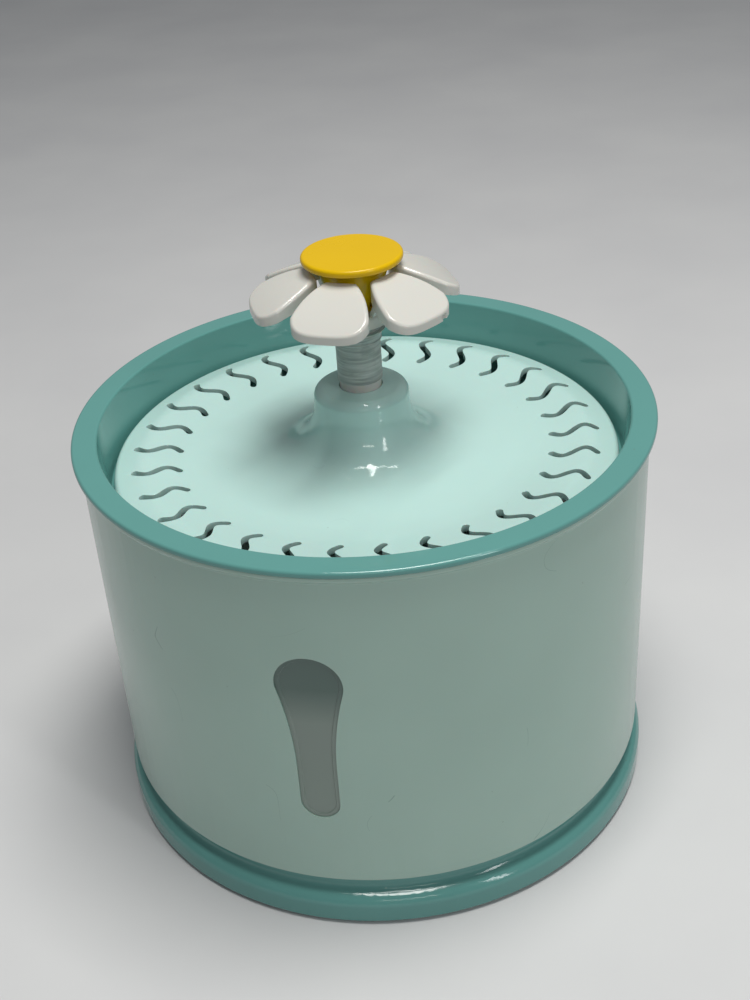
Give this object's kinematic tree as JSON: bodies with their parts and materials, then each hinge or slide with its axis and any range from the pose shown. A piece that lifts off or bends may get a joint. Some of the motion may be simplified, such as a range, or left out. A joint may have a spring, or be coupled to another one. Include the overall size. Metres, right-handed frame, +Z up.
{
  "type": "pet water fountain",
  "caption": "Round pet drinking fountain with a flower outlet on a slotted lid, a lift-out tray and filter, a tank with a level window and a submerged pump.",
  "frame": {"origin": "on the floor under the fountain's axis", "axes": "+Z up along the axis of tank, lid and flower; -Y towards the level window"},
  "size_m": [0.18, 0.18, 0.1822],
  "materials": {
    "mint_plastic": "glossy moulded ABS, pale mint",
    "teal_plastic": "satin moulded ABS, teal",
    "window_plastic": "clear plastic with a smoke tint",
    "white_plastic": "glossy moulded ABS, warm white",
    "yellow_plastic": "satin moulded ABS, yellow",
    "tube_plastic": "natural polypropylene, translucent white",
    "thread_tape": "PTFE thread tape, matt white",
    "cartridge_plastic": "moulded polypropylene, white",
    "carbon": "granular carbon, matt black",
    "felt": "needled polyester felt, white",
    "pump_plastic": "moulded ABS, black",
    "rotor_plastic": "moulded POM, grey",
    "ferrite": "sintered ferrite, dark grey",
    "ceramic": "ground alumina, off-white",
    "rubber": "black rubber, matt",
    "soft_rubber": "silicone rubber, translucent grey",
    "steel": "zinc-plated screw steel",
    "core_steel": "stacked electrical steel",
    "copper": "enamelled copper wire",
    "foam": "open polyurethane foam, dark grey",
    "contact_metal": "plated brass",
    "lead_jacket": "PVC jacket, black"
  },
  "bodies": {
    "tank": {"tank_shell": "mint_plastic", "level_window": "window_plastic", "base_skirt": "teal_plastic", "base_screws": "steel", "rubber_feet": "rubber", "pump_housing": "pump_plastic", "suction_cups": "soft_rubber", "pump_cover": "pump_plastic", "rotor_shaft": "ceramic", "shaft_bushes": "rubber", "stator_core": "core_steel", "stator_coil": "copper", "outlet_coupler": "soft_rubber", "power_socket": "pump_plastic", "socket_contact": "contact_metal", "lead_gland": "rubber", "pump_lead": "lead_jacket"},
    "tray": {"top_tray": "teal_plastic"},
    "filter": {"filter_frame": "cartridge_plastic", "carbon_media": "carbon", "filter_felt": "felt"},
    "lid": {"lid": "mint_plastic", "riser_tube": "tube_plastic", "thread_tape": "thread_tape"},
    "flower": {"petal_crown": "white_plastic"},
    "cap": {"flower_cap": "yellow_plastic"},
    "rotor": {"impeller": "rotor_plastic", "rotor_magnet": "ferrite"},
    "dial": {"flow_dial": "rotor_plastic"},
    "foam": {"prefilter_foam": "foam"}
  },
  "joints": [
    {"name": "tray_lift", "type": "slide", "parent": "tank", "child": "tray", "axis": [0, 0, 1], "range_m": [0, 0.07]},
    {"name": "filter_lift", "type": "slide", "parent": "tray", "child": "filter", "axis": [0, 0, 1], "range_m": [0, 0.06]},
    {"name": "lid_lift", "type": "slide", "parent": "filter", "child": "lid", "axis": [0, 0, 1], "range_m": [0, 0.06]},
    {"name": "flower_lift", "type": "slide", "parent": "lid", "child": "flower", "axis": [0, 0, 1], "range_m": [0, 0.03]},
    {"name": "cap_lift", "type": "slide", "parent": "flower", "child": "cap", "axis": [0, 0, 1], "range_m": [0, 0.03]},
    {"name": "impeller_spin", "type": "hinge", "parent": "tank", "child": "rotor", "pos_m": [-0.009, 0, 0.05], "axis": [0, -1, 0], "continuous": true},
    {"name": "flow_dial_turn", "type": "hinge", "parent": "tank", "child": "dial", "pos_m": [-0.009, 0, 0.05], "axis": [0, -1, 0], "range_deg": [0, 22.5]},
    {"name": "foam_pull", "type": "slide", "parent": "tank", "child": "foam", "axis": [0, -1, 0], "range_m": [0, 0.03]}
  ]
}
